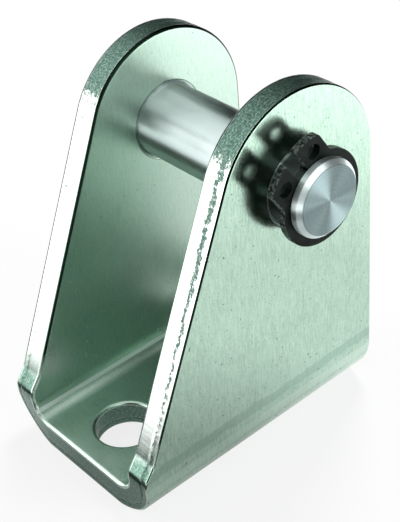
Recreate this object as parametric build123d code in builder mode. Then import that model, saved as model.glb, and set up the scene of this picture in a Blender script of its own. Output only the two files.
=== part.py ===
"""Clevis foot that carries the rear eye of a small round air cylinder. Sizes are in millimetres.

X runs along the clevis pin, Y along the foot and Z up. The origin is on the underside of the foot,
midway along it and midway between the two ears. Both ears stand upright at the back (+Y) and
slope at the front (-Y).
"""
import os
from math import asin, atan2, cos, degrees, hypot, radians, sin, sqrt

from build123d import *

# Folded sheet
SHEET = 3.0
CLEVIS_GAP = 16.1
FOOT_LENGTH = 32.0
BEND_INNER_RADIUS = 2.0
ROLL_IN_RADIUS = 0.35
BURR_EDGE_BREAK = 0.15

# Ear outline
PIN_HEIGHT = 30.0
EAR_RADIUS = 10.0
SHOULDER_LAND = 1.0
SHOULDER_SETBACK = 1.2
SHOULDER_RISE = 1.6
SHOULDER_ROUND = 1.5

# Fixing holes in the foot
HOLE_DIAMETER = 6.6
HOLE_TO_END = 6.0
HOLE_ROLL_IN = 0.35

# Clevis pin
PIN_DIAMETER = 8.0
PIN_CLEARANCE = 0.05
PIN_END_CHAMFER = 0.5
GROOVE_DEPTH = 0.2
GROOVE_TO_END = 1.15
BORE_EDGE_BREAK = 0.3

# Retaining rings
RING_THICKNESS = 0.8
RING_PLAY = 1.95
RING_SIDE_CLEARANCE = 0.05
RING_BORE_CLEARANCE = 0.03
RING_BACK_WIDTH = 1.5
RING_TIP_WIDTH = 0.75
RING_GAP = 1.4
LUG_REACH = 2.85
LUG_WIDTH = 2.9
LUG_HOLE_DIAMETER = 1.5
LUG_HOLE_OFFSET = 1.3
LUG_ROUND = 0.7
LUG_ROOT_ROUND = 0.4
RING_EDGE_BREAK = 0.08
RIGHT_GAP_ANGLE = 123.5
LEFT_GAP_ANGLE = 62.0

# Places that follow from the driving sizes
bend_outer_radius = BEND_INNER_RADIUS + SHEET
gap_half = CLEVIS_GAP / 2
ear_face = gap_half + SHEET
front = -FOOT_LENGTH / 2
back = FOOT_LENGTH / 2
pin_y = back - EAR_RADIUS
ear_top = PIN_HEIGHT + EAR_RADIUS
pin_radius = PIN_DIAMETER / 2
groove_radius = pin_radius - GROOVE_DEPTH
ring_inner_face = ear_face + RING_PLAY
ring_outer_face = ring_inner_face + RING_THICKNESS
groove_start = ring_inner_face - RING_SIDE_CLEARANCE
groove_end = ring_outer_face + RING_SIDE_CLEARANCE
pin_end = groove_end + GROOVE_TO_END

os.makedirs("parts", exist_ok=True)


def slope_lean(foot_y, foot_z):
    """Angle from the vertical of the front slope that touches the ear's round top."""
    run = pin_y - foot_y
    rise = PIN_HEIGHT - foot_z
    return atan2(run, rise) - asin(EAR_RADIUS / hypot(run, rise))


# Bracket, one blank folded twice into a U
with BuildPart() as bracket:
    with BuildSketch(Plane.XZ) as section:
        with BuildLine():
            Polyline(
                (-ear_face, ear_top),
                (-ear_face, 0),
                (ear_face, 0),
                (ear_face, ear_top),
                (gap_half, ear_top),
                (gap_half, SHEET),
                (-gap_half, SHEET),
                (-gap_half, ear_top),
                close=True,
            )
        make_face()
        fillet(section.vertices().group_by(Axis.Y)[0], bend_outer_radius)
        inner_corners = section.vertices().filter_by_position(Axis.Y, SHEET, SHEET)
        fillet(inner_corners.filter_by_position(Axis.X, -gap_half, gap_half), BEND_INNER_RADIUS)
    extrude(amount=FOOT_LENGTH / 2, both=True)

    # Side view of the blank's edge, kept where it crosses the folded section
    shoulder_z = bend_outer_radius + SHOULDER_LAND
    slope_foot_y = front + SHOULDER_SETBACK
    slope_foot_z = shoulder_z + SHOULDER_RISE
    lean = slope_lean(slope_foot_y, slope_foot_z)
    with BuildSketch(Plane.YZ) as outline:
        with BuildLine():
            Line((back, 0), (back, PIN_HEIGHT))
            round_top = CenterArc((pin_y, PIN_HEIGHT), EAR_RADIUS, 0, 180 - degrees(lean))
            Line(round_top @ 1, (slope_foot_y, slope_foot_z))
            Polyline((slope_foot_y, slope_foot_z), (front, shoulder_z), (front, 0), (back, 0))
        make_face()
        shoulder_corners = outline.vertices().filter_by_position(Axis.Y, shoulder_z, slope_foot_z)
        fillet(shoulder_corners, SHOULDER_ROUND)
    extrude(amount=ear_face, both=True, mode=Mode.INTERSECT)

    # The sheared edge is rolled in on the inside of the U, where the punch entered, and deburred outside
    bend_lines = bracket.edges().filter_by(Axis.Y)
    across_ears = bracket.edges().filter_by(Axis.X).filter_by(lambda edge: abs(edge.center().X) > gap_half)
    sheared_edges = bracket.edges() - bend_lines - across_ears
    mid_ear = gap_half + SHEET / 2
    above_mid_foot = sheared_edges.filter_by_position(Axis.Z, SHEET / 2, ear_top)
    rolled_edges = above_mid_foot.filter_by_position(Axis.X, -mid_ear, mid_ear)
    chamfer(sheared_edges - rolled_edges, BURR_EDGE_BREAK)
    fillet(rolled_edges, ROLL_IN_RADIUS)

    # Punched fixing holes, rolled in on the upper side
    with Locations((0, front + HOLE_TO_END, SHEET), (0, back - HOLE_TO_END, SHEET)):
        Hole(radius=HOLE_DIAMETER / 2, depth=SHEET)
    hole_rims = bracket.edges(Select.LAST).filter_by(GeomType.CIRCLE)
    chamfer(hole_rims.group_by(Axis.Z)[-1], HOLE_ROLL_IN)

    # Bores for the pin, in line through both ears
    with Locations(Plane(origin=(ear_face, pin_y, PIN_HEIGHT), z_dir=(1, 0, 0))):
        Hole(radius=pin_radius + PIN_CLEARANCE)
    bore_rims = bracket.edges(Select.LAST).filter_by(GeomType.CIRCLE)
    chamfer(bore_rims, BORE_EDGE_BREAK)

bracket.part.label = "bracket"
export_step(bracket.part, "parts/bracket.step")


# Clevis pin, turned, with a groove near each end
with BuildPart() as clevis_pin:
    with BuildSketch(Plane(origin=(0, pin_y, PIN_HEIGHT), x_dir=(1, 0, 0), z_dir=(0, -1, 0))):
        with BuildLine():
            half_profile = Polyline(
                (0, pin_radius),
                (groove_start, pin_radius),
                (groove_start, groove_radius),
                (groove_end, groove_radius),
                (groove_end, pin_radius),
                (pin_end - PIN_END_CHAMFER, pin_radius),
                (pin_end, pin_radius - PIN_END_CHAMFER),
                (pin_end, 0),
            )
            mirror(half_profile, about=Plane.YZ)
            Line((-pin_end, 0), (pin_end, 0))
        make_face()
    revolve(axis=Axis((0, pin_y, PIN_HEIGHT), (1, 0, 0)))

clevis_pin.part.label = "clevis_pin"
export_step(clevis_pin.part, "parts/clevis_pin.step")


def retaining_ring(inner_face, gap_angle):
    """Spring ring that narrows from its back to two drilled lugs beside the gap."""
    bore_radius = groove_radius + RING_BORE_CLEARANCE
    back_radius = bore_radius + RING_BACK_WIDTH
    tip_radius = bore_radius + RING_TIP_WIDTH
    lug_radius = bore_radius + LUG_REACH
    lug_side = RING_GAP / 2 + LUG_WIDTH
    hole_circle = bore_radius + LUG_HOLE_OFFSET
    hole_side = (RING_GAP + LUG_WIDTH) / 2
    hole_reach = sqrt(hole_circle**2 - hole_side**2)
    turn = radians(gap_angle)
    face = Plane(
        origin=(inner_face, pin_y, PIN_HEIGHT),
        x_dir=(0, cos(turn), sin(turn)),
        z_dir=(1, 0, 0),
    )
    with BuildPart() as ring:
        with BuildSketch(face) as shape:
            Circle(lug_radius)
            Rectangle(lug_radius, 2 * lug_side, align=(Align.MIN, Align.CENTER), mode=Mode.INTERSECT)
            fillet(shape.vertices().sort_by(Axis.X)[-2:], LUG_ROUND)
            with Locations(((tip_radius - back_radius) / 2, 0)):
                Circle((tip_radius + back_radius) / 2)
            lug_corners = shape.vertices().filter_by(lambda corner: abs(corner.Y) > hole_side)
            fillet(lug_corners.group_by(Axis.X)[0], LUG_ROOT_ROUND)
            Circle(bore_radius, mode=Mode.SUBTRACT)
            Rectangle(lug_radius, RING_GAP, align=(Align.MIN, Align.CENTER), mode=Mode.SUBTRACT)
            with Locations((hole_reach, -hole_side), (hole_reach, hole_side)):
                Circle(LUG_HOLE_DIAMETER / 2, mode=Mode.SUBTRACT)
        extrude(amount=RING_THICKNESS)
        flat_faces = ring.faces().filter_by(Axis.X)
        chamfer(flat_faces.edges(), RING_EDGE_BREAK)
    return ring.part


right_ring = retaining_ring(ring_inner_face, RIGHT_GAP_ANGLE)
right_ring.label = "retaining_ring_right"
export_step(right_ring, "parts/retaining_ring_right.step")

left_ring = retaining_ring(-ring_outer_face, LEFT_GAP_ANGLE)
left_ring.label = "retaining_ring_left"
export_step(left_ring, "parts/retaining_ring_left.step")
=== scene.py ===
"""Looks of a clevis foot for a small round air cylinder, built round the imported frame.

The bracket is drawn as the flat blank that it is sheared from, and then folded. The retaining rings
are stamped plates, and the pin is a turned profile. Lengths are in metres.
"""

from math import asin, atan2, ceil, cos, hypot, pi, radians, sin, sqrt

import bmesh
import bpy
import numpy as np
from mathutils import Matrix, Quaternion, Vector, noise
from mathutils.geometry import delaunay_2d_cdt


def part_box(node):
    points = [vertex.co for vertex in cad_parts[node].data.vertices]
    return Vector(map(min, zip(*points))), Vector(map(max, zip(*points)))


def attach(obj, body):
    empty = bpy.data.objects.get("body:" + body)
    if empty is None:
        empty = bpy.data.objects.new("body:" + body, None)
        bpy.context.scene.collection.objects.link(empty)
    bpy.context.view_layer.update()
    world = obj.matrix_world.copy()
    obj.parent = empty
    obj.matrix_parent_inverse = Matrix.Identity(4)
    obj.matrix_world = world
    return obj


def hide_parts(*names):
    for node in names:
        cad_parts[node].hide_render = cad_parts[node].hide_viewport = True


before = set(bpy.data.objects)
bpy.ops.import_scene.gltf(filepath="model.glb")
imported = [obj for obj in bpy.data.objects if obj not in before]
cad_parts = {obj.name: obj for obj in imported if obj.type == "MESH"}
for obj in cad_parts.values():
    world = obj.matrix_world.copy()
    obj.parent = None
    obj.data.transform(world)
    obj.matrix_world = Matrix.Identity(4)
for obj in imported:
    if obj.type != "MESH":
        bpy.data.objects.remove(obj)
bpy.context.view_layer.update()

MM = 0.001

# Folded sheet
SHEET = 3.0 * MM
CLEVIS_GAP = 16.1 * MM
BEND_INNER_RADIUS = 2.0 * MM
EAR_RADIUS = 10.0 * MM
SHOULDER_LAND = 1.0 * MM
SHOULDER_SETBACK = 1.2 * MM
SHOULDER_RISE = 1.6 * MM
SHOULDER_ROUND = 1.5 * MM
HOLE_DIAMETER = 6.6 * MM
HOLE_TO_END = 6.0 * MM
BORE_DIAMETER = 8.1 * MM

# Worked edges of the sheet. A wave is the size of its swings and how far they go, as a length or a share
ROLL_IN = 0.35 * MM
BURNISH_DEPTH = 2.1 * MM
BURNISH_LOSS_UP_HIGH = 0.7 * MM
RAGGED_WAVE = (1.1 * MM, 0.1 * MM)
RAGGED_RIPPLE = (0.22 * MM, 0.03 * MM)
TEAR_WIDTH = 0.3 * MM
TEAR_LEAST_WIDTH = 0.1 * MM
TEAR_WIDTH_WAVE = (0.7 * MM, 0.5)
TEAR_RISE_START = 3 * MM
TEAR_RISE = 22 * MM
TEAR_STEP = 0.035 * MM
TEAR_DEPTH_WAVE = (0.25 * MM, 0.06 * MM)
HEALED_LEAST_WIDTH = 0.2 * MM
CHATTER_DEPTH = 0.02 * MM
CHATTER_WAVE = (0.3 * MM, 0.05 * MM)
NIBBLE_AND_SHADE_START = 4 * MM
NIBBLE_AND_SHADE_WAVE = (0.8 * MM, 0.05)
BURR_BREAK = 0.15 * MM
# The wall ends in a rim this wide that is painted dark as shade, wider on the left ear
PAINTED_RIM_WIDTH = 0.05 * MM
LEFT_PAINTED_RIM_WIDTH = 0.14 * MM
BORE_RIM_BREAK = 0.3 * MM
BEND_SWELL = 0.25 * MM

# Marks along the bends. Inside each bend a painted highlight lies at an angle round it. The others are
# outside: press-brake marks that also carry painted shade and painted highlight, and their places are
# measured up the ear from the end of the bend
PAINTED_HIGHLIGHT_ANGLE = radians(52)
PAINTED_HIGHLIGHT_WIDTH = 0.95 * MM
STREAK_HIGHLIGHT_PLACE = -0.3 * MM
STREAK_HIGHLIGHT_WIDTH = 1.0 * MM
RUB_SHADE_PLACE = 2.2 * MM
RUB_SHADE_WIDTH = 1.5 * MM
RUB_SHADE_WAVER = 1.2 * MM

# The cut edge is dull, and darker as painted shade, up to the first of these heights on the ear, and bright
# from the second
DULL_SHADED_CUT_END = 2.4 * MM
BRIGHT_CUT_START = 5.0 * MM
CUT_WAVER = 2.5 * MM

# Pin
PIN_DIAMETER = 8.0 * MM
PIN_CHAMFER = 0.5 * MM
GROOVE_DEPTH = 0.2 * MM
GROOVE_SIDE_CLEARANCE = 0.05 * MM
GROOVE_RIM_ROUND = 0.04 * MM
GROOVE_ROOT_ROUND = 0.05 * MM
PIN_CHAMFER_ROUND = 0.06 * MM

# Retaining rings
RING_BORE_CLEARANCE = 0.03 * MM
RING_BACK_WIDTH = 1.5 * MM
RING_TIP_WIDTH = 0.75 * MM
RING_GAP = 1.4 * MM
LUG_REACH = 2.85 * MM
LUG_WIDTH = 2.9 * MM
LUG_HOLE_DIAMETER = 1.5 * MM
LUG_HOLE_OFFSET = 1.3 * MM
LUG_ROUND = 0.7 * MM
LUG_ROOT_ROUND = 0.4 * MM
GAP_CORNER_ROUND = 0.18 * MM
RING_EDGE_ROUND = 0.08 * MM
RIGHT_GAP_ANGLE = radians(123.5)
LEFT_GAP_ANGLE = radians(62.0)

# How finely the pieces are drawn. Two stations a crisp step apart keep a change sharp
SHEET_SPACING = 0.2 * MM
SHEET_FILL_CLEARANCE = 0.25 * MM
RING_SPACING = 0.07 * MM
RING_FILL_CLEARANCE = 0.12 * MM
RING_FILL_REACH = 6.5 * MM
SHEARED_SUPPORT = 0.1 * MM
BORED_SUPPORT = 0.08 * MM
CRISP_STEP = 0.02 * MM
WANDER_SEED = 7.3
PIN_STEPS = 180

# The ears stop this far below the frame's top, so that their finer outline stays inside its box
TOP_CLEARANCE = 0.001 * MM

# Places that follow from the frame and the sizes
bracket_low, bracket_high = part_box("bracket")
pin_low, pin_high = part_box("clevis_pin")
right_ring_low, right_ring_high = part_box("retaining_ring_right")
left_ring_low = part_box("retaining_ring_left")[0]
front, back = bracket_low.y, bracket_high.y
pin_y = (pin_low.y + pin_high.y) / 2
pin_z = (pin_low.z + pin_high.z) / 2
ring_thickness = right_ring_high.x - right_ring_low.x
foot_half = CLEVIS_GAP / 2 - BEND_INNER_RADIUS
neutral_radius = BEND_INNER_RADIUS + SHEET / 2
ear_start = foot_half + neutral_radius * pi / 2
bend_top = BEND_INNER_RADIUS + SHEET
painted_highlight_place = foot_half + PAINTED_HIGHLIGHT_ANGLE * neutral_radius
pin_across_blank = ear_start + pin_z - bend_top
ring_bore = PIN_DIAMETER / 2 - GROOVE_DEPTH + RING_BORE_CLEARANCE


class Wiring:
    """Adds nodes to one tree and wires them."""

    def __init__(self, tree):
        self.tree = tree

    def node(self, kind, inputs=None, **settings):
        made = self.tree.nodes.new(kind)
        for name, value in settings.items():
            setattr(made, name, value)
        for key, value in (inputs or {}).items():
            self.feed(made.inputs[key], value)
        return made

    def feed(self, socket, value):
        if isinstance(value, bpy.types.NodeSocket):
            self.tree.links.new(value, socket)
        else:
            socket.default_value = value

    def math(self, operation, *values, clamp=False):
        made = self.node("ShaderNodeMath", operation=operation, use_clamp=clamp)
        for socket, value in zip(made.inputs, values):
            self.feed(socket, value)
        return made.outputs[0]


# Outlines

def arc(centre, radius, start, end, spacing):
    """Points along an arc, from its start angle to its end angle."""
    steps = max(2, ceil(abs(end - start) * radius / spacing))
    angles = np.linspace(start, end, steps + 1)
    return [(centre[0] + radius * cos(a), centre[1] + radius * sin(a)) for a in angles]


def round_corner(path, corner, radius):
    """Rounds the corner of a closed path that is nearest to a place, with a curve close to an arc."""
    points = np.array(path)
    count = len(points)
    at = int(np.argmin(np.hypot(*(points - corner).T)))
    before = points[at] - points[at - 1]
    after = points[(at + 1) % count] - points[at]
    turn = atan2(before[0] * after[1] - before[1] * after[0], before @ after)
    reach = abs(radius * np.tan(turn / 2))
    first, first_point = walk_back(points, at, reach)
    last, last_point = walk_on(points, at, reach)
    hold = 4 / 3 * np.tan(turn / 4) / np.tan(turn / 2)
    first_hold = first_point + hold * (points[at] - first_point)
    last_hold = last_point + hold * (points[at] - last_point)
    share = np.linspace(0, 1, 12)[:, None]
    bend = (1 - share) ** 3 * first_point + 3 * share * (1 - share) ** 2 * first_hold
    bend += 3 * share**2 * (1 - share) * last_hold + share**3 * last_point
    kept = [points[(last + k) % count] for k in range((first - last) % count + 1)]
    return [tuple(p) for p in kept] + [tuple(p) for p in bend]


def walk_back(points, at, reach):
    """Place on a closed path that lies a length before one of its points, with the point before it."""
    here = points[at]
    index = at
    while True:
        index = (index - 1) % len(points)
        step = hypot(*(here - points[index]))
        if step >= reach:
            return index, here + (points[index] - here) * reach / step
        reach -= step
        here = points[index]


def walk_on(points, at, reach):
    """Place on a closed path that lies a length after one of its points, with the point after it."""
    here = points[at]
    index = at
    while True:
        index = (index + 1) % len(points)
        step = hypot(*(here - points[index]))
        if step >= reach:
            return index, here + (points[index] - here) * reach / step
        reach -= step
        here = points[index]


def evenly(path, spacing):
    """The closed path again, with its points an even length apart."""
    closed = np.array(list(path) + [path[0]])
    lengths = np.hypot(*np.diff(closed, axis=0).T)
    kept = np.concatenate([[True], lengths > 1e-9])
    closed = closed[kept]
    run = np.concatenate([[0], np.cumsum(np.hypot(*np.diff(closed, axis=0).T))])
    places = np.linspace(0, run[-1], max(8, round(run[-1] / spacing)) + 1)[:-1]
    return np.stack([np.interp(places, run, closed[:, 0]), np.interp(places, run, closed[:, 1])], axis=1)


def hole(centre, diameter, spacing):
    """A round opening, drawn clockwise so that the material lies on its left."""
    return evenly(arc(centre, diameter / 2, 2 * pi, 0, spacing)[:-1], spacing)


def blank_outline(spacing):
    """Outline of the flat blank: x across the folds, y along the foot, anticlockwise."""
    eye_x = pin_across_blank
    shoulder_x = ear_start + SHOULDER_LAND
    slope_x = shoulder_x + SHOULDER_RISE
    slope_y = front + SHOULDER_SETBACK
    run = pin_y - slope_y
    rise = eye_x - slope_x
    lean = atan2(run, rise) - asin(EAR_RADIUS / hypot(run, rise))
    shoulder = (shoulder_x, front)
    slope_foot = (slope_x, slope_y)
    right = [(0, front), shoulder, slope_foot]
    right += arc((eye_x, pin_y), EAR_RADIUS, lean - pi / 2, pi / 2, spacing)
    right += [(0, back)]
    left = [(-x, y) for x, y in reversed(right[1:-1])]
    path = right + left
    for side in (1, -1):
        for x, y in (shoulder, slope_foot):
            path = round_corner(path, (side * x, y), SHOULDER_ROUND)
    points = evenly(path, spacing)
    top = ear_start + bracket_high.z - bend_top - TOP_CLEARANCE
    points[:, 0] = np.clip(points[:, 0], -top, top)
    return points


def ring_outline(spacing):
    """Outline of a retaining ring, with its gap on the +x side, anticlockwise."""
    bore = ring_bore
    lug_end = bore + LUG_REACH
    half_gap = RING_GAP / 2
    lug_side = half_gap + LUG_WIDTH
    body = bore + (RING_TIP_WIDTH + RING_BACK_WIDTH) / 2
    body_x = (RING_TIP_WIDTH - RING_BACK_WIDTH) / 2
    bore_corner = (sqrt(bore**2 - half_gap**2), half_gap)
    gap_corner = (sqrt(lug_end**2 - half_gap**2), half_gap)
    lug_corner = (sqrt(lug_end**2 - lug_side**2), lug_side)
    root = (body_x + sqrt(body**2 - lug_side**2), lug_side)
    upper = [gap_corner]
    upper += arc((0, 0), lug_end, asin(half_gap / lug_end), asin(lug_side / lug_end), spacing)[1:]
    upper += arc((body_x, 0), body, asin(lug_side / body), pi, spacing)
    lower = [(x, -y) for x, y in reversed(upper[:-1])]
    inner = arc((0, 0), bore, 2 * pi - asin(half_gap / bore), asin(half_gap / bore), spacing)
    path = upper + lower + inner
    corners = ((bore_corner, GAP_CORNER_ROUND), (gap_corner, GAP_CORNER_ROUND), (lug_corner, LUG_ROUND),
               (root, LUG_ROOT_ROUND))
    for side in (1, -1):
        for (x, y), radius in corners:
            path = round_corner(path, (x, side * y), radius)
    return evenly(path, spacing)


# Stamped plates

def inward(points):
    """Unit direction into the material at each point of a closed path."""
    along = np.roll(points, -1, axis=0) - np.roll(points, 1, axis=0)
    along /= np.hypot(*along.T)[:, None]
    return np.stack([-along[:, 1], along[:, 0]], axis=1)


class Plate:
    """A flat plate in x and y, with its punched side at z 0 and its thickness along +z."""

    def __init__(self):
        self.points = []
        self.faces = []
        self.run = []
        self.zone = []
        self.skins = ([], [])

    def add_points(self, points, run, zone):
        """Adds points, with their length along the edge and their finish zone, and says where they start."""
        first = len(self.points)
        self.points += [tuple(p) for p in points]
        self.run += list(run)
        self.zone += list(zone)
        return first

    def add_edge(self, path, stations):
        """Walls one path. A station is (inset, depth, zone), each one number or one for each point."""
        count = len(path)
        into = inward(path)
        steps = np.hypot(*(path - np.roll(path, 1, axis=0)).T)
        run = np.cumsum(steps)
        firsts = []
        for inset, depth, zone in stations:
            flat = path + into * np.broadcast_to(inset, count)[:, None]
            points = np.column_stack([flat, np.broadcast_to(depth, count)])
            firsts.append(self.add_points(points, run, np.broadcast_to(zone, count)))
        for upper, lower in zip(firsts, firsts[1:]):
            for k in range(count):
                on = (k + 1) % count
                self.faces.append((upper + k, upper + on, lower + on, lower + k))
        self.skins[0].append(range(firsts[0], firsts[0] + count))
        self.skins[1].append(range(firsts[-1], firsts[-1] + count))

    def fill(self, inner_points, clearance):
        """Closes both sides with triangles that also pass through the inner points."""
        for loops in self.skins:
            depth = self.points[loops[0][0]][2]
            rim = np.array([self.points[k][:2] for loop in loops for k in loop])
            clear = [p for p in inner_points if np.min(np.hypot(*(rim - p).T)) > clearance]
            kept = [p for p in clear if self.holds(loops, p)]
            first = self.add_points([(x, y, depth) for x, y in kept], [0.0] * len(kept), [0.0] * len(kept))
            names = [k for loop in loops for k in loop] + list(range(first, first + len(kept)))
            owner = [n for n, loop in enumerate(loops) for k in loop] + [-1] * len(kept)
            edges = []
            start = 0
            for loop in loops:
                edges += [(start + k, start + (k + 1) % len(loop)) for k in range(len(loop))]
                start += len(loop)
            flat = [Vector(self.points[k][:2]) for k in names]
            found = delaunay_2d_cdt(flat, edges, [], 1, 1e-9)
            source = [ids[0] for ids in found[3]]
            for triangle in found[2]:
                ids = [source[k] for k in triangle]
                owners = {owner[k] for k in ids}
                if len(owners) > 1 or owners & {-1, 0}:
                    self.faces.append(tuple(names[k] for k in ids))

    def holds(self, loops, point):
        """True if the plate has material at a point, by counting the edges to its right."""
        x, y = point
        inside = False
        for loop in loops:
            path = np.array([self.points[k][:2] for k in loop])
            after = np.roll(path, -1, axis=0)
            level = (path[:, 1] > y) != (after[:, 1] > y)
            rise = np.where(level, after[:, 1] - path[:, 1], 1.0)
            across = path[:, 0] + (y - path[:, 1]) / rise * (after[:, 0] - path[:, 0])
            inside ^= bool(np.count_nonzero(level & (across > x)) % 2)
        return inside

    def piece(self, name):
        """The plate as an object, with its edge run and finish zone kept as attributes."""
        mesh = bpy.data.meshes.new(name)
        mesh.from_pydata(self.points, [], self.faces)
        for label, values in (("run", self.run), ("zone", self.zone)):
            kept = mesh.attributes.new(label, "FLOAT", "POINT")
            kept.data.foreach_set("value", np.array(values, np.float32))
        made = bpy.data.objects.new(name, mesh)
        bpy.context.scene.collection.objects.link(made)
        return made


def wander(path, size, amount):
    """A smooth random value for each point of a path, from about -amount to amount."""
    places = [Vector((x / size, y / size, WANDER_SEED)) for x, y in path]
    return np.array([noise.fractal(place, 0.7, 2.0, 3) * amount for place in places])


def rolled_stations(radius, support):
    """Stations of a rolled-in edge, from the flat side down to the wall."""
    stations = [(radius + 2 * support, 0.0, 0.0), (radius + support, 0.0, 0.0)]
    for angle in np.linspace(0, pi / 2, 7):
        stations.append((radius * (1 - sin(angle)), radius * (1 - cos(angle)), 0.5 * sin(angle)))
    return stations


def nibbled_and_shaded(path):
    """How rough the punch left each point of the blank's edge, which also sets painted shade on the edges
    that face up: 1 on the round tops, 0 on the slopes.
    """
    facing_out = -inward(path)[:, 0] * np.sign(path[:, 0])
    past_bend = np.abs(path[:, 0]) > ear_start + NIBBLE_AND_SHADE_START
    rough = np.interp(facing_out + wander(path, *NIBBLE_AND_SHADE_WAVE), (0.43, 0.72), (0.0, 1.0))
    return np.where(past_bend, rough, 0.0)


def sheared_stations(path, rough=0.0):
    """Rolled in where the punch entered, burnished, torn along a ragged line, and deburred on the far side.

    The torn line is wider up on the ears, and fainter on the left one. The finish zone is 0 on the flat
    faces, 1 on the smooth wall and up to 2 where it is rough or torn; on the round tops its dark colour is
    partly painted shade. Zones up to 0.5 on the rims carry a painted dark rim.
    """
    high = np.clip((np.abs(path[:, 0]) - ear_start - TEAR_RISE_START) / TEAR_RISE, 0.0, 1.0)
    on_left_ear = path[:, 0] < -ear_start
    faint = np.where(on_left_ear, 0.4, 1.0)
    rim = np.where(on_left_ear, LEFT_PAINTED_RIM_WIDTH, PAINTED_RIM_WIDTH)
    wall = 1.0 + rough
    # The rough round tops go dark, partly as painted shade
    torn = np.maximum(wall, 1.0 + (0.42 + 0.26 * high) * faint)
    wall_end = SHEET - BURR_BREAK
    ragged = BURNISH_DEPTH - BURNISH_LOSS_UP_HIGH * high
    ragged = ragged + wander(path, *RAGGED_WAVE) + wander(path, *RAGGED_RIPPLE)
    width = TEAR_WIDTH * (0.8 + 2.7 * high) * (1 + wander(path + 9 * MM, *TEAR_WIDTH_WAVE))
    healed = np.minimum(ragged + np.maximum(width, TEAR_LEAST_WIDTH), wall_end - HEALED_LEAST_WIDTH)
    stations = []
    for inset, depth, zone in rolled_stations(ROLL_IN, SHEARED_SUPPORT):
        stations.append((inset, depth, zone * (1 - 0.2 * rough)))
    stations.append((0.0, ROLL_IN + CRISP_STEP, wall))
    for k, share in enumerate((0.15, 0.35, 0.6, 0.85)):
        chatter = rough * (wander(path + 3 * k * MM, *CHATTER_WAVE) + CHATTER_DEPTH)
        stations.append((np.maximum(chatter, 0.0), ROLL_IN + share * (ragged - ROLL_IN), wall))
    stations.append((0.0, ragged - CRISP_STEP, wall))
    valley = TEAR_STEP + np.abs(wander(path, *TEAR_DEPTH_WAVE))
    stations.append((valley, 0.75 * ragged + 0.25 * healed, torn))
    stations.append((valley, 0.3 * ragged + 0.7 * healed, torn))
    step = 0.6 * TEAR_STEP
    stations.append((step, healed, wall))
    stations.append((step, wall_end - rim - CRISP_STEP, wall))
    # These zones fall in the band that is painted dark as shade along the rim
    stations.append((step, wall_end - rim, 0.42))
    stations.append((step + CRISP_STEP / 2, wall_end + CRISP_STEP, 0.4))
    stations.append((step + BURR_BREAK - CRISP_STEP, SHEET - CRISP_STEP / 2, 0.2))
    stations += [(step + BURR_BREAK + k * SHEARED_SUPPORT, SHEET, 0.0) for k in range(3)]
    return stations


def bored_stations(thickness, edge_break):
    """A bore with both of its rims broken, and the wall between them."""
    support = BORED_SUPPORT
    near = [(edge_break + 2 * support, 0.0, 0.0), (edge_break + support, 0.0, 0.0), (edge_break, 0.0, 0.5)]
    near += [(0.7 * edge_break, 0.15 * edge_break, 1.0), (0.15 * edge_break, 0.7 * edge_break, 1.0)]
    near += [(0.0, edge_break, 1.0), (0.0, edge_break + support, 1.0)]
    far = [(inset, thickness - depth, zone) for inset, depth, zone in reversed(near)]
    return near + [(0.0, thickness / 2, 1.0)] + far


def tumbled_stations(thickness, radius, wear=1.0):
    """A stamped edge that was rounded on both sides by tumbling, worn more or less."""
    near = rolled_stations(radius, radius / 2)
    far = [(inset, thickness - depth, zone) for inset, depth, zone in reversed(near)]
    return [(inset, depth, wear * zone) for inset, depth, zone in near + [(0.0, thickness / 2, 0.5)] + far]


# Trees that shape the pieces

def new_tree(name, inputs):
    """A tree with a geometry input, the named inputs and a geometry output."""
    tree = bpy.data.node_groups.new(name, "GeometryNodeTree")
    tree.interface.new_socket("Shape", in_out="INPUT", socket_type="NodeSocketGeometry")
    for label, kind in inputs:
        tree.interface.new_socket(label, in_out="INPUT", socket_type=kind)
    tree.interface.new_socket("Shape", in_out="OUTPUT", socket_type="NodeSocketGeometry")
    wiring = Wiring(tree)
    given = wiring.node("NodeGroupInput").outputs
    return wiring, given


def end_tree(wiring, shape, finish):
    """Ends a tree with a smooth, plain mesh in its finish."""
    smooth = wiring.node("GeometryNodeSetShadeSmooth", {"Geometry": shape})
    real = wiring.node("GeometryNodeRealizeInstances", {"Geometry": smooth.outputs[0]})
    coated = wiring.node("GeometryNodeSetMaterial", {"Geometry": real.outputs[0], "Material": finish})
    wiring.node("NodeGroupOutput", {"Shape": coated.outputs[0]})
    return wiring.tree


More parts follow.
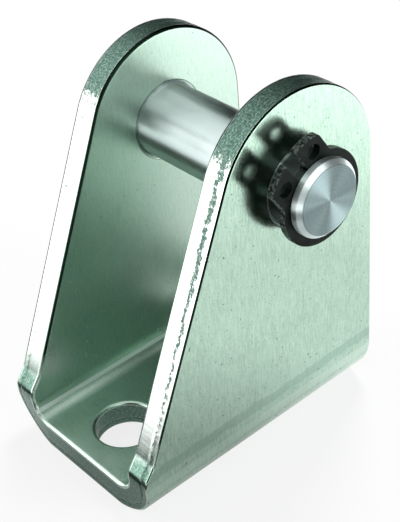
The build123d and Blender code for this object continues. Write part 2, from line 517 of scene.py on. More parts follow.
def fold_tree():
    """Folds a flat blank along two lines into a U, with its punched side inside."""
    lengths = ("Foot Half", "Inner Radius", "Sheet", "Bulge", "Foot Half Length")
    wiring, given = new_tree("fold_blank", [(label, "NodeSocketFloat") for label in lengths]
                             + [("Finish", "NodeSocketMaterial")])
    math = wiring.math
    position = wiring.node("GeometryNodeInputPosition").outputs[0]
    stored = wiring.node("GeometryNodeStoreNamedAttribute", {"Geometry": given["Shape"], "Name": "blank"},
                         data_type="FLOAT_VECTOR", domain="POINT")
    wiring.feed(stored.inputs["Value"], position)
    flat = wiring.node("ShaderNodeSeparateXYZ", {"Vector": position}).outputs
    side = math("SIGN", flat["X"])
    across = math("ABSOLUTE", flat["X"])
    neutral = math("ADD", given["Inner Radius"], math("MULTIPLY", given["Sheet"], 0.5))
    past_foot = math("MAXIMUM", math("SUBTRACT", across, given["Foot Half"]), 0.0)
    angle = math("MINIMUM", math("DIVIDE", past_foot, neutral), pi / 2)
    past_bend = math("SUBTRACT", past_foot, math("MULTIPLY", angle, neutral))
    radius = math("ADD", given["Inner Radius"], flat["Z"])
    on_foot = math("MINIMUM", across, given["Foot Half"])
    out = math("ADD", on_foot, math("MULTIPLY", radius, math("SINE", angle)))
    outer = math("ADD", given["Inner Radius"], given["Sheet"])
    up = math("ADD", math("SUBTRACT", outer, math("MULTIPLY", radius, math("COSINE", angle))), past_bend)

    # The squeezed inside of a bend swells past the cut edge and its stretched outside draws back
    swell = math("SINE", math("MULTIPLY", angle, 2.0))
    squeeze = math("DIVIDE", flat["Z"], given["Sheet"])
    reach = math("DIVIDE", math("ABSOLUTE", flat["Y"]), given["Foot Half Length"])
    near_edge = wiring.node("ShaderNodeMapRange", {"Value": reach, "From Min": 0.85, "From Max": 1.0},
                            interpolation_type="SMOOTHSTEP").outputs[0]
    drawn = math("MULTIPLY", math("MULTIPLY", math("MULTIPLY", swell, squeeze), near_edge), given["Bulge"])
    along = math("SUBTRACT", flat["Y"], math("MULTIPLY", math("SIGN", flat["Y"]), drawn))

    place = wiring.node("ShaderNodeCombineXYZ", {"X": math("MULTIPLY", side, out), "Y": along, "Z": up})
    folded = wiring.node("GeometryNodeSetPosition",
                         {"Geometry": stored.outputs[0], "Position": place.outputs[0]})
    return end_tree(wiring, folded.outputs[0], given["Finish"])


def turn_tree():
    """Turns a half profile, drawn in order with its radius along z, round the x axis."""
    wiring, given = new_tree("turned_round", [("Steps", "NodeSocketInt"), ("Axis Place", "NodeSocketVector"),
                                              ("Finish", "NodeSocketMaterial")])
    math = wiring.math
    size = wiring.node("GeometryNodeAttributeDomainSize", {"Geometry": given["Shape"]}, component="MESH")
    around = math("ADD", given["Steps"], 1.0)
    grid = wiring.node("GeometryNodeMeshGrid",
                       {"Vertices X": size.outputs["Point Count"], "Vertices Y": around})
    index = wiring.node("GeometryNodeInputIndex").outputs[0]
    row = math("FLOOR", math("DIVIDE", math("ADD", index, 0.5), around))
    step = math("SUBTRACT", index, math("MULTIPLY", row, around))
    angle = math("MULTIPLY", math("DIVIDE", step, given["Steps"]), 2 * pi)
    position = wiring.node("GeometryNodeInputPosition").outputs[0]
    sample = wiring.node("GeometryNodeSampleIndex", {"Geometry": given["Shape"], "Index": row},
                         data_type="FLOAT_VECTOR", domain="POINT")
    wiring.feed(sample.inputs["Value"], position)
    profile = wiring.node("ShaderNodeSeparateXYZ", {"Vector": sample.outputs[0]}).outputs
    turned = wiring.node("ShaderNodeCombineXYZ", {
        "X": profile["X"],
        "Y": math("MULTIPLY", profile["Z"], math("COSINE", angle)),
        "Z": math("MULTIPLY", profile["Z"], math("SINE", angle)),
    })
    placed = wiring.node("ShaderNodeVectorMath", operation="ADD")
    wiring.feed(placed.inputs[0], turned.outputs[0])
    wiring.feed(placed.inputs[1], given["Axis Place"])
    mapped = wiring.node("GeometryNodeStoreNamedAttribute",
                         {"Geometry": grid.outputs["Mesh"], "Name": "UVMap"},
                         data_type="FLOAT2", domain="CORNER")
    wiring.feed(mapped.inputs["Value"], grid.outputs["UV Map"])
    shaped = wiring.node("GeometryNodeSetPosition",
                         {"Geometry": mapped.outputs[0], "Position": placed.outputs[0]})
    closed = wiring.node("GeometryNodeMergeByDistance", {"Geometry": shaped.outputs[0], "Distance": 1e-6})
    return end_tree(wiring, closed.outputs[0], given["Finish"])


def seat_tree():
    """Turns a flat ring so that its gap points one way, and seats it at its place on the pin."""
    wiring, given = new_tree("seat_ring", [("Gap Angle", "NodeSocketFloat"), ("Place", "NodeSocketVector"),
                                           ("Finish", "NodeSocketMaterial")])
    position = wiring.node("GeometryNodeInputPosition").outputs[0]
    flat = wiring.node("ShaderNodeSeparateXYZ", {"Vector": position})
    upright = wiring.node("ShaderNodeCombineXYZ", {
        "X": flat.outputs["Z"],
        "Y": flat.outputs["X"],
        "Z": flat.outputs["Y"],
    })
    turned = wiring.node("ShaderNodeVectorRotate",
                         {"Vector": upright.outputs[0], "Angle": given["Gap Angle"]},
                         rotation_type="X_AXIS")
    placed = wiring.node("ShaderNodeVectorMath", operation="ADD")
    wiring.feed(placed.inputs[0], turned.outputs[0])
    wiring.feed(placed.inputs[1], given["Place"])
    seated = wiring.node("GeometryNodeSetPosition",
                         {"Geometry": given["Shape"], "Position": placed.outputs[0]})
    return end_tree(wiring, seated.outputs[0], given["Finish"])


def shaped_by(piece, tree, values):
    """Runs a tree on a piece and keeps its result as the piece's own closed mesh."""
    modifier = piece.modifiers.new(tree.name, "NODES")
    modifier.node_group = tree
    for socket in tree.interface.items_tree:
        if socket.in_out == "INPUT" and socket.name in values:
            modifier[socket.identifier] = values[socket.name]
    graph = bpy.context.evaluated_depsgraph_get()
    mesh = bpy.data.meshes.new_from_object(piece.evaluated_get(graph), preserve_all_data_layers=True,
                                           depsgraph=graph)
    piece.modifiers.remove(modifier)
    piece.data = mesh
    outward = bmesh.new()
    outward.from_mesh(mesh)
    bmesh.ops.recalc_face_normals(outward, faces=outward.faces)
    outward.to_mesh(mesh)
    outward.free()
    return piece


# Finishes

# Zinc plate, from its face to its cut edge
ZINC_DEEP = (0.35, 0.51, 0.41, 1)
ZINC_PLAIN = (0.40, 0.585, 0.47, 1)
ZINC_GRAIN = (0.52, 0.69, 0.575, 1)
ZINC_SPECKLE = (0.22, 0.33, 0.27, 1)
ZINC_PIT = (0.12, 0.20, 0.16, 1)
ZINC_PUNCHED_SIDE = (0.60, 0.71, 0.66, 1)
ZINC_RUB_AND_PAINTED_SHADE = (0.26, 0.42, 0.34, 1)
ZINC_STREAK_AND_PAINTED_HIGHLIGHT = (0.62, 0.78, 0.69, 1)
ZINC_PAINTED_HIGHLIGHT = (0.80, 0.95, 0.88, 1)
SHEARED_DEEP = (0.74, 0.82, 0.77, 1)
SHEARED_BRIGHT = (0.88, 0.93, 0.90, 1)
SHEARED_FLECK = (0.40, 0.51, 0.45, 1)
TORN_AND_SHADED_DEEP = (0.06, 0.115, 0.092, 1)
TORN_AND_SHADED_CRUMB = (0.23, 0.355, 0.30, 1)
DULL_SHADED_CUT_DEEP = (0.07, 0.13, 0.105, 1)
DULL_SHADED_CUT_CRUMB = (0.21, 0.33, 0.27, 1)
RIM_PAINTED_SHADE = (0.008, 0.018, 0.013, 1)

# Ground steel and black phosphate
STEEL_DEEP = (0.55, 0.64, 0.63, 1)
STEEL_BRIGHT = (0.68, 0.77, 0.76, 1)
FACED_AND_SHADED_DEEP = (0.21, 0.29, 0.295, 1)
FACED_AND_SHADED_BRIGHT = (0.44, 0.54, 0.55, 1)
RECESS_PAINTED_SHADE = (0.02, 0.03, 0.027, 1)
PHOSPHATE_DEEP = (0.003, 0.005, 0.0045, 1)
PHOSPHATE_PLAIN = (0.011, 0.016, 0.014, 1)
PHOSPHATE_WORN_AND_HIGHLIGHT = (0.15, 0.18, 0.165, 1)


def new_finish(name):
    """An empty material, its wiring and its shader."""
    material = bpy.data.materials.new(name)
    material.use_nodes = True
    material.node_tree.nodes.clear()
    wiring = Wiring(material.node_tree)
    shader = wiring.node("ShaderNodeBsdfPrincipled")
    wiring.node("ShaderNodeOutputMaterial", {"Surface": shader.outputs[0]})
    return material, wiring, shader


def grain(wiring, vector, cells, detail, roughness):
    """Noise with so many cells to a metre along each way."""
    return wiring.node("ShaderNodeTexNoise", {
        "Vector": wiring.node("ShaderNodeMapping", {"Vector": vector, "Scale": cells}).outputs[0],
        "Scale": 1.0,
        "Detail": detail,
        "Roughness": roughness,
    }).outputs["Fac"]


def spread(wiring, value, low, high, to_low=0.0, to_high=1.0):
    """A value from one range brought to another, held at its ends."""
    return wiring.node("ShaderNodeMapRange", {
        "Value": value, "From Min": low, "From Max": high, "To Min": to_low, "To Max": to_high}).outputs[0]


def blended(wiring, factor, first, second):
    """Two colours mixed by a factor."""
    made = wiring.node("ShaderNodeMix", data_type="RGBA")
    wiring.feed(made.inputs["Factor"], factor)
    wiring.feed(made.inputs[6], first)
    wiring.feed(made.inputs[7], second)
    return made.outputs[2]


def band(wiring, value, middle, width):
    """1 where a value is near the middle of a band, falling smoothly to 0 at its sides."""
    off = wiring.math("ABSOLUTE", wiring.math("SUBTRACT", value, middle))
    return wiring.node("ShaderNodeMapRange", {
        "Value": off, "From Min": 0.3 * width, "From Max": 0.5 * width, "To Min": 1.0, "To Max": 0.0,
    }, interpolation_type="SMOOTHSTEP").outputs[0]


def mixed_value(wiring, factor, first, second):
    """Two plain values mixed by a factor."""
    made = wiring.node("ShaderNodeMix", {"Factor": factor}, data_type="FLOAT")
    wiring.feed(made.inputs[2], first)
    wiring.feed(made.inputs[3], second)
    return made.outputs[0]


def bumped(wiring, height, strength, distance):
    """A surface normal raised by a height."""
    return wiring.node("ShaderNodeBump", {
        "Height": height, "Strength": strength, "Distance": distance}).outputs[0]


def plated_face(wiring, blank, cloud):
    """Colour, roughness and height of the plated face, with its rolling grain, speckle and pits."""
    math = wiring.math
    rolling = grain(wiring, blank, (800, 4400, 900), 5.0, 0.7)
    speckle = grain(wiring, blank, (3400, 3900, 3400), 4.0, 0.8)
    pits = grain(wiring, blank, (2200, 2600, 2200), 1.0, 0.5)
    colour = blended(wiring, spread(wiring, cloud, 0.35, 0.65), ZINC_DEEP, ZINC_PLAIN)
    colour = blended(wiring, spread(wiring, rolling, 0.35, 0.7), colour, ZINC_GRAIN)
    colour = blended(wiring, spread(wiring, speckle, 0.55, 0.75), colour, ZINC_SPECKLE)
    colour = blended(wiring, spread(wiring, pits, 0.74, 0.78), colour, ZINC_PIT)
    rough = spread(wiring, cloud, 0.3, 0.7, 0.12, 0.18)
    rough = math("ADD", rough, spread(wiring, speckle, 0.4, 0.8, 0.0, 0.12))
    height = math("ADD", math("MULTIPLY", rolling, 0.6), math("MULTIPLY", speckle, 0.4))
    return colour, rough, height


def press_marks_and_painted_light(wiring, colour, cloud, from_middle, punched_side):
    """Adds outside each bend a darker rubbed band, partly painted shade, and a lighter line, partly painted
    highlight, and inside it a painted highlight, whose share it gives too.
    """
    math = wiring.math
    outer_side = math("SUBTRACT", 1.0, punched_side)
    wavering = math("ADD", from_middle, math("MULTIPLY", cloud, RUB_SHADE_WAVER))
    # Outside each bend a darker band is partly a press mark and partly painted shade, and a lighter line is
    # partly a press mark and partly painted highlight
    rub_and_painted_shade = math("MULTIPLY", outer_side, band(wiring, wavering, ear_start + RUB_SHADE_PLACE, RUB_SHADE_WIDTH))
    streak_and_painted_highlight = math("MULTIPLY", outer_side, band(wiring, from_middle, ear_start + STREAK_HIGHLIGHT_PLACE, STREAK_HIGHLIGHT_WIDTH))
    # A pale painted highlight runs along the inside of each bend
    painted_highlight = math("MULTIPLY", punched_side, band(wiring, from_middle, painted_highlight_place, PAINTED_HIGHLIGHT_WIDTH))
    colour = blended(wiring, math("MULTIPLY", punched_side, 0.35), colour, ZINC_PUNCHED_SIDE)
    colour = blended(wiring, math("MULTIPLY", rub_and_painted_shade, 0.5), colour, ZINC_RUB_AND_PAINTED_SHADE)
    colour = blended(wiring, math("MULTIPLY", streak_and_painted_highlight, 0.4), colour, ZINC_STREAK_AND_PAINTED_HIGHLIGHT)
    return blended(wiring, painted_highlight, colour, ZINC_PAINTED_HIGHLIGHT), painted_highlight


def cut_edge(wiring, cut, zone, shaded_low_cut):
    """Colours of the sheared and of the torn edge, the torn share, and the edge's roughness and height."""
    math = wiring.math
    drag = grain(wiring, cut, (4200, 350, 1), 4.0, 0.65)
    flecks = grain(wiring, cut, (2600, 3000, 1), 4.0, 0.75)
    crumbs = grain(wiring, cut, (4200, 4600, 1), 3.0, 0.7)
    sheared = blended(wiring, spread(wiring, drag, 0.3, 0.7), SHEARED_DEEP, SHEARED_BRIGHT)
    sheared = blended(wiring, spread(wiring, flecks, 0.65, 0.72, 0, 0.8), sheared, SHEARED_FLECK)
    torn = blended(wiring, spread(wiring, crumbs, 0.44, 0.68), TORN_AND_SHADED_DEEP, TORN_AND_SHADED_CRUMB)
    dull_shaded_cut = blended(wiring, spread(wiring, crumbs, 0.38, 0.66), DULL_SHADED_CUT_DEEP, DULL_SHADED_CUT_CRUMB)
    # The dull cut round the foot and shoulders is darker, partly as painted shade
    dull = math("MULTIPLY", shaded_low_cut, spread(wiring, zone, 0.75, 1.0))
    sheared = blended(wiring, dull, sheared, dull_shaded_cut)
    flecked_zone = math("ADD", zone, math("MULTIPLY", math("SUBTRACT", flecks, 0.5), 2.4))
    in_tear_and_shade = spread(wiring, flecked_zone, 1.35, 1.6)
    rough = math("ADD", spread(wiring, drag, 0.3, 0.7, 0.18, 0.30), spread(wiring, in_tear_and_shade, 0, 1, 0, 0.25))
    torn_height = math("MULTIPLY", math("MULTIPLY", crumbs, in_tear_and_shade), 3.0)
    height = math("ADD", math("MULTIPLY", drag, 0.5), torn_height)
    return sheared, torn, in_tear_and_shade, rough, height


def zinc_finish():
    """Zinc plate with a pale green tint over rolled sheet, bright where sheared and dull where torn, with
    painted shade in places and a painted highlight inside each bend.
    """
    material, wiring, shader = new_finish("zinc_plate")
    math = wiring.math
    blank = wiring.node("ShaderNodeAttribute", attribute_name="blank").outputs["Vector"]
    zone = wiring.node("ShaderNodeAttribute", attribute_name="zone").outputs["Fac"]
    run = wiring.node("ShaderNodeAttribute", attribute_name="run").outputs["Fac"]
    flat = wiring.node("ShaderNodeSeparateXYZ", {"Vector": blank}).outputs
    from_middle = math("ABSOLUTE", flat["X"])
    punched_side = spread(wiring, flat["Z"], 0.3 * MM, 0.1 * MM)
    cloud = grain(wiring, blank, (260, 420, 300), 4.0, 0.55)
    face, rough_face, face_height = plated_face(wiring, blank, cloud)
    face, painted_highlight = press_marks_and_painted_light(wiring, face, cloud, from_middle, punched_side)

    # The edge was cut bright along the slopes and duller round the foot, where its darker colour is partly
    # painted shade
    wavering = math("ADD", from_middle, math("MULTIPLY", math("SUBTRACT", cloud, 0.5), CUT_WAVER))
    shaded_low_cut = spread(wiring, wavering, ear_start + BRIGHT_CUT_START, ear_start + DULL_SHADED_CUT_END)
    cut = wiring.node("ShaderNodeCombineXYZ", {"X": run, "Y": flat["Z"]}).outputs[0]
    sheared, torn, in_tear_and_shade, rough_cut, cut_height = cut_edge(wiring, cut, zone, shaded_low_cut)

    in_shear = spread(wiring, zone, 0.3, 0.9)
    # Painted shade: a dark rim along the rolled and deburred edges where the cut is bright
    painted_dark_rim = math("MULTIPLY", band(wiring, zone, 0.27, 0.44), math("SUBTRACT", 1.0, shaded_low_cut))
    colour = blended(wiring, in_tear_and_shade, blended(wiring, in_shear, face, sheared), torn)
    colour = blended(wiring, painted_dark_rim, colour, RIM_PAINTED_SHADE)
    wiring.feed(shader.inputs["Base Color"], colour)
    # Where the painted highlight lies inside the bends, the plate is less metallic and rougher
    wiring.feed(shader.inputs["Metallic"], spread(wiring, painted_highlight, 0, 1, 1.0, 0.15))
    rough_face = math("ADD", rough_face, math("MULTIPLY", punched_side, 0.14))
    rough = mixed_value(wiring, in_shear, rough_face, rough_cut)
    wiring.feed(shader.inputs["Roughness"], math("ADD", rough, math("MULTIPLY", painted_highlight, 0.35)))
    height = mixed_value(wiring, in_shear, face_height, cut_height)
    wiring.feed(shader.inputs["Normal"], bumped(wiring, height, 0.5, 0.02 * MM))
    return material


def ground_finish():
    """Bright steel, ground round the pin, faced across its ends, where it is darker partly as painted shade,
    and painted dark as shade in the recess behind each ring.
    """
    material, wiring, shader = new_finish("ground_steel_bright")
    math = wiring.math
    place = wiring.node("ShaderNodeTexCoord").outputs["Object"]
    centred = wiring.node("ShaderNodeMapping", {"Vector": place, "Location": (0, -pin_y, -pin_z)}).outputs[0]
    parts = wiring.node("ShaderNodeSeparateXYZ", {"Vector": centred}).outputs
    radius = math("SQRT", math("ADD", math("MULTIPLY", parts["Y"], parts["Y"]),
                               math("MULTIPLY", parts["Z"], parts["Z"])))
    rings = wiring.node("ShaderNodeCombineXYZ", {"X": parts["X"], "Y": radius}).outputs[0]
    marks = grain(wiring, rings, (14000, 14000, 1), 3.0, 0.7)
    cloud = grain(wiring, place, (300, 300, 300), 3.0, 0.5)
    outwards = math("ABSOLUTE", parts["X"])
    faced = spread(wiring, outwards, pin_high.x - 0.12 * MM, pin_high.x - 0.02 * MM)
    # Painted shade on the pin from the ear out to the outer face of each ring
    smeared = math("ADD", outwards, math("MULTIPLY", cloud, 0.8 * MM))
    painted_recess_shade = math("MULTIPLY", spread(wiring, smeared, bracket_high.x + 0.1 * MM, bracket_high.x + 0.5 * MM),
                  spread(wiring, outwards, right_ring_high.x + 0.1 * MM, right_ring_high.x))
    colour = blended(wiring, spread(wiring, marks, 0.35, 0.7), STEEL_DEEP, STEEL_BRIGHT)
    # The faced ends are darker, partly a duller finish and partly painted shade of their grooves
    face = blended(wiring, spread(wiring, marks, 0.35, 0.7), FACED_AND_SHADED_DEEP, FACED_AND_SHADED_BRIGHT)
    colour = blended(wiring, faced, colour, face)
    colour = blended(wiring, math("MULTIPLY", painted_recess_shade, 0.95), colour, RECESS_PAINTED_SHADE)
    wiring.feed(shader.inputs["Base Color"], colour)
    shader.inputs["Metallic"].default_value = 1.0
    shader.inputs["Anisotropic"].default_value = 0.97
    tangent = wiring.node("ShaderNodeTangent", direction_type="UV_MAP", uv_map="UVMap")
    wiring.feed(shader.inputs["Tangent"], tangent.outputs[0])
    rough = math("ADD", spread(wiring, cloud, 0.3, 0.7, 0.36, 0.42), math("MULTIPLY", faced, 0.24))
    wiring.feed(shader.inputs["Roughness"], rough)
    wiring.feed(shader.inputs["Normal"], bumped(wiring, marks, 0.15, 0.01 * MM))
    return material


def black_finish():
    """Black phosphate on spring steel, a little oily, thinner on the edges, where the lighter colour is
    partly wear and partly painted highlight.
    """
    material, wiring, shader = new_finish("black_phosphate")
    place = wiring.node("ShaderNodeTexCoord").outputs["Object"]
    zone = wiring.node("ShaderNodeAttribute", attribute_name="zone").outputs["Fac"]
    pores = grain(wiring, place, (3500, 3500, 3500), 4.0, 0.7)
    cloud = grain(wiring, place, (700, 700, 700), 3.0, 0.5)
    colour = blended(wiring, spread(wiring, cloud, 0.35, 0.7), PHOSPHATE_DEEP, PHOSPHATE_PLAIN)
    # The lighter worn edges are partly painted highlight
    worn = wiring.math("MULTIPLY", spread(wiring, zone, 0.1, 0.4), spread(wiring, pores, 0.45, 0.62))
    colour = blended(wiring, worn, colour, PHOSPHATE_WORN_AND_HIGHLIGHT)
    wiring.feed(shader.inputs["Base Color"], colour)
    shader.inputs["Metallic"].default_value = 0.0
    shader.inputs["Specular IOR Level"].default_value = 0.05
    wiring.feed(shader.inputs["Roughness"], spread(wiring, pores, 0.3, 0.7, 0.26, 0.42))
    wiring.feed(shader.inputs["Normal"], bumped(wiring, pores, 0.35, 0.015 * MM))
    return material


# Pieces

def grid_points(xs, ys):
    """The crossings of two sets of lines."""
    return [(x, y) for x in xs for y in ys]


def make_bracket():
    """The blank with its holes, bores and worked edges, folded into a U."""
    plate = Plate()
    outline = blank_outline(SHEET_SPACING)
    plate.add_edge(outline, sheared_stations(outline, nibbled_and_shaded(outline)))
    for y in (front + HOLE_TO_END, back - HOLE_TO_END):
        fixing_hole = hole((0, y), HOLE_DIAMETER, SHEET_SPACING)
        plate.add_edge(fixing_hole, sheared_stations(fixing_hole))
    for side in (1, -1):
        bore = hole((side * pin_across_blank, pin_y), BORE_DIAMETER, SHEET_SPACING)
        plate.add_edge(bore, bored_stations(SHEET, BORE_RIM_BREAK))
    ys = np.linspace(front, back, 41)[1:-1]
    bend = np.linspace(foot_half, ear_start, 31)
    foot = np.linspace(-foot_half, foot_half, 13)[1:-1]
    ear = np.linspace(ear_start, ear_start + bracket_high.z - bend_top, 36)[1:]
    inner = grid_points(foot, ys)
    for side in (1, -1):
        inner += grid_points(side * bend, ys) + grid_points(side * ear, ys)
    plate.fill(np.array(inner), SHEET_FILL_CLEARANCE)
    return shaped_by(plate.piece("folded_sheet"), fold_tree(), {
        "Foot Half": foot_half,
        "Inner Radius": BEND_INNER_RADIUS,
        "Sheet": SHEET,
        "Bulge": BEND_SWELL,
        "Foot Half Length": back,
        "Finish": zinc_finish(),
    })


def make_pin():
    """The turned pin, with a groove and a chamfer at each end."""
    radius = PIN_DIAMETER / 2
    groove = radius - GROOVE_DEPTH
    end = pin_high.x
    groove_start = right_ring_low.x - GROOVE_SIDE_CLEARANCE
    groove_end = right_ring_high.x + GROOVE_SIDE_CLEARANCE
    corners = [
        (0, radius, 0),
        (groove_start, radius, GROOVE_RIM_ROUND),
        (groove_start, groove, GROOVE_ROOT_ROUND),
        (groove_end, groove, GROOVE_ROOT_ROUND),
        (groove_end, radius, GROOVE_RIM_ROUND),
        (end - PIN_CHAMFER, radius, PIN_CHAMFER_ROUND),
        (end, radius - PIN_CHAMFER, PIN_CHAMFER_ROUND),
        (end, 0, 0),
    ]
    half = softened(corners)
    facing = [(end, r) for r in np.linspace(half[-2][1], 0, 14)[1:-1]]
    half = half[:-1] + facing + [half[-1]]
    profile = [(-x, r) for x, r in reversed(half)] + half[1:]
    mesh = bpy.data.meshes.new("turned_pin")
    mesh.from_pydata([(x, 0, r) for x, r in profile], [(k, k + 1) for k in range(len(profile) - 1)], [])
    pin = bpy.data.objects.new("turned_pin", mesh)
    bpy.context.scene.collection.objects.link(pin)
    return shaped_by(pin, turn_tree(), {
        "Steps": PIN_STEPS,
        "Axis Place": (0, pin_y, pin_z),
        "Finish": ground_finish(),
    })


def softened(corners):
    """An open profile with a small round at each corner and support points beside it."""
    made = [corners[0][:2]]
    for (x0, y0, _), (x, y, radius), (x2, y2, _) in zip(corners, corners[1:], corners[2:]):
        here = np.array((x, y))
        to_last = np.array((x0, y0)) - here
        to_next = np.array((x2, y2)) - here
        to_last /= hypot(*to_last)
        to_next /= hypot(*to_next)
        first = here + to_last * radius
        last = here + to_next * radius
        made.append(tuple(here + to_last * 1.6 * radius))
        for share in (0, 0.25, 0.5, 0.75, 1):
            made.append(tuple((1 - share) ** 2 * first + 2 * share * (1 - share) * here + share**2 * last))
        made.append(tuple(here + to_next * 1.6 * radius))
    return made + [corners[-1][:2]]


def make_ring(name, low_x, gap_angle, seat, finish):
    """A stamped retaining ring, seated on the pin. The holes of its lugs are hardly worn."""
    plate = Plate()
    outline = ring_outline(RING_SPACING)
    plate.add_edge(outline, tumbled_stations(ring_thickness, RING_EDGE_ROUND))
    hole_y = (RING_GAP + LUG_WIDTH) / 2
    hole_x = sqrt((ring_bore + LUG_HOLE_OFFSET) ** 2 - hole_y**2)
    for side in (1, -1):
        lug_hole = hole((hole_x, side * hole_y), LUG_HOLE_DIAMETER, RING_SPACING)
        plate.add_edge(lug_hole, tumbled_stations(ring_thickness, RING_EDGE_ROUND, wear=0.12))
    span = np.linspace(-RING_FILL_REACH, RING_FILL_REACH, 33)
    plate.fill(np.array(grid_points(span, span)), RING_FILL_CLEARANCE)
    return shaped_by(plate.piece(name), seat, {
        "Gap Angle": gap_angle,
        "Place": (low_x, pin_y, pin_z),
        "Finish": finish,
    })


sheet = make_bracket()
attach(sheet, "bracket")
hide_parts("bracket")

pin = make_pin()
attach(pin, "pin")
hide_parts("clevis_pin")

ring_seat = seat_tree()
ring_finish = black_finish()
for name, node, low, angle in (
    ("spring_ring_right", "retaining_ring_right", right_ring_low, RIGHT_GAP_ANGLE),
    ("spring_ring_left", "retaining_ring_left", left_ring_low, LEFT_GAP_ANGLE),
):
    ring = make_ring(name, low.x, angle, ring_seat, ring_finish)
    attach(ring, "rings")
    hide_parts(node)


# Studio

OBJECT_MIDDLE = Vector((0, 0, 0.02))

# Share of the floor that glows, in reflections and straight in the camera, where it is plain white. The rest
# is matt and keeps the shadow. In reflections the glow grows with the distance from a place under the foot's
# far corner, from GLOW_CLOSE to GLOW_OUT, and GLOW_BEYOND is added farther out, up to nearly twice white
FLOOR_WHITE = 0.9
FLOOR_WHITE_IN_CAMERA = 0.8
PAINTED_SHADE_MIDDLE = (-10 * MM, 14 * MM, 0)
GLOW_CLOSE = 0.5
GLOW_OUT = 1.15
GLOW_BEYOND = 0.95

TABLE_SIZE = 6
BACK_CARD_PLACE = Vector((-0.65, 0.42, 0.45))
BACK_CARD_FACING = Vector((-0.65, 0, 0.45))
PAINTED_FLOOR_SHADE_PLACE = Vector((0.0175, -0.0435, 0.0003))
PAINTED_FLOOR_SHADE_FACING = Vector((0.0175, -0.0435, 1))
WORLD_ON_SURFACES = 0.3
WORLD_SEEN = 1.0


def plain_card(name, width, depth, place, facing, material):
    """A flat stage card that faces a point."""
    mesh = bpy.data.meshes.new(name)
    x = width / 2
    y = depth / 2
    mesh.from_pydata([(-x, -y, 0), (x, -y, 0), (x, y, 0), (-x, y, 0)], [], [(0, 1, 2, 3)])
    mesh.materials.append(material)
    card = bpy.data.objects.new(name, mesh)
    bpy.context.scene.collection.objects.link(card)
    card.location = place
    card.rotation_mode = "QUATERNION"
    card.rotation_quaternion = (Vector(facing) - Vector(place)).to_track_quat("Z", "Y")
    return card


def reflected_light(wiring):
    """1 for what a reflection or a clear material sees, and 0 for all other rays."""
    path = wiring.node("ShaderNodeLightPath").outputs
    return wiring.math("MAXIMUM", path["Is Glossy Ray"], path["Is Transmission Ray"])


def in_camera(wiring):
    """1 for what the camera sees straight on, and 0 for all other rays."""
    return wiring.node("ShaderNodeLightPath").outputs["Is Camera Ray"]


def floor_finish():
    """Pale matt paper that looks white and keeps the object's shadow. In reflections it glows, dimmer close
    by as painted shade and up to nearly twice white farther out.
    """
    material = bpy.data.materials.new("white_paper")
    material.use_nodes = True
    material.node_tree.nodes.clear()
    wiring = Wiring(material.node_tree)
    math = wiring.math
    straight = in_camera(wiring)
    place = wiring.node("ShaderNodeTexCoord").outputs["Object"]
    apart = wiring.node("ShaderNodeVectorMath", {0: place, 1: PAINTED_SHADE_MIDDLE}, operation="DISTANCE")
    reach = apart.outputs["Value"]
    close = spread(wiring, reach, 12 * MM, 30 * MM, GLOW_CLOSE, GLOW_OUT)
    glow = math("ADD", close, spread(wiring, reach, 50 * MM, 92 * MM, 0.0, GLOW_BEYOND))
    strength = math("ADD", math("MULTIPLY", glow, math("SUBTRACT", 1.0, straight)), straight)
    matt = wiring.node("ShaderNodeBsdfDiffuse", {"Color": (0.90, 0.90, 0.90, 1)})
    white = wiring.node("ShaderNodeEmission", {"Color": (1, 1, 1, 1), "Strength": strength})
    share = math("MAXIMUM", math("MULTIPLY", reflected_light(wiring), FLOOR_WHITE),
                 math("MULTIPLY", straight, FLOOR_WHITE_IN_CAMERA))
    mixed = wiring.node("ShaderNodeMixShader", {0: share})
    wiring.feed(mixed.inputs[1], matt.outputs[0])
    wiring.feed(mixed.inputs[2], white.outputs[0])
    wiring.node("ShaderNodeOutputMaterial", {"Surface": mixed.outputs[0]})
    return material


def dark_finish():
    """Dark felt for the cards, which only reflections see."""
    material = bpy.data.materials.new("dark_felt")
    material.use_nodes = True
    shader = material.node_tree.nodes["Principled BSDF"]
    shader.inputs["Base Color"].default_value = (0.03, 0.035, 0.033, 1)
    shader.inputs["Roughness"].default_value = 1.0
    return material


def stand(heading, height, reach):
    """A place round the object, from its heading and height as angles in degrees and its reach."""
    heading = radians(heading)
    height = radians(height)
    level = reach * cos(height)
    return Vector((level * cos(heading), level * sin(heading), reach * sin(height))) + OBJECT_MIDDLE


def soft_box(name, place, width, height, power):
    """A flat lamp that faces the object."""
    light = bpy.data.lights.new(name, "AREA")
    light.shape = "RECTANGLE"
    light.size = width
    light.size_y = height
    light.energy = power
    lamp = bpy.data.objects.new(name, light)
    bpy.context.scene.collection.objects.link(lamp)
    lamp.location = place
    lamp.rotation_mode = "QUATERNION"
    lamp.rotation_quaternion = (OBJECT_MIDDLE - place).to_track_quat("-Z", "Y")
    return lamp


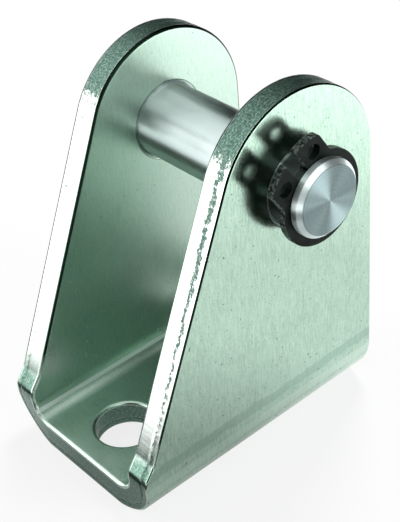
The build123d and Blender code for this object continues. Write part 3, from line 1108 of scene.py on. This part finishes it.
plain_card("table", TABLE_SIZE, TABLE_SIZE, (0, 0, 0), (0, 0, 1), floor_finish())
felt = dark_finish()
for name, width, tall, place, facing in (
    ("front_card", 0.45, 0.40, stand(298, 20, 0.5), OBJECT_MIDDLE),
    ("back_card", 2.20, 0.90, BACK_CARD_PLACE, BACK_CARD_FACING),
    ("right_card", 0.45, 0.25, stand(32, 45, 0.5), OBJECT_MIDDLE),
    # A dark sheet on the floor in front, seen only in reflections, is painted shadow on the floor
    ("painted_floor_shade", 0.105, 0.045, PAINTED_FLOOR_SHADE_PLACE, PAINTED_FLOOR_SHADE_FACING),
):
    card = plain_card(name, width, tall, place, facing, felt)
    card.visible_camera = False
    card.visible_diffuse = False
    card.visible_shadow = False

key = soft_box("key", stand(116, 54, 0.26), 0.07, 0.07, 0.40)
key.visible_glossy = False
soft_box("right_box", stand(14, 14, 0.4), 0.28, 0.20, 1.10)
soft_box("left_box", stand(200, 27, 0.5), 0.50, 0.42, 1.10)
soft_box("front_box", stand(240, 14, 0.5), 0.24, 0.30, 0.45)

world = bpy.data.worlds.new("studio")
bpy.context.scene.world = world
world.use_nodes = True
world_wiring = Wiring(world.node_tree)
sky = world.node_tree.nodes["Background"]
sky.inputs["Color"].default_value = (1, 1, 1, 1)
seen = world_wiring.math("MAXIMUM", in_camera(world_wiring), reflected_light(world_wiring))
world_wiring.feed(sky.inputs["Strength"], spread(world_wiring, seen, 0, 1, WORLD_ON_SURFACES, WORLD_SEEN))

# Camera, from the photograph's own perspective
CAMERA_PLACE = Vector((0.08156, -0.06271, 0.09262))
CAMERA_TARGET = Vector((0.00142, 0.00088, 0.01921))
CAMERA_ROLL = radians(-5.27)
CAMERA_LENS = 85.08

camera_data = bpy.data.cameras.new("photo_camera")
camera_data.lens = CAMERA_LENS
camera_data.sensor_width = 36
camera_data.clip_start = 0.005
camera_data.clip_end = 20
camera = bpy.data.objects.new("photo_camera", camera_data)
bpy.context.scene.collection.objects.link(camera)
camera.location = CAMERA_PLACE
camera.rotation_mode = "QUATERNION"
camera.rotation_quaternion = (
    (CAMERA_TARGET - CAMERA_PLACE).to_track_quat("-Z", "Y") @ Quaternion((0, 0, 1), CAMERA_ROLL)
)
bpy.context.scene.camera = camera
bpy.context.scene.view_settings.view_transform = "Standard"

bpy.context.view_layer.update()
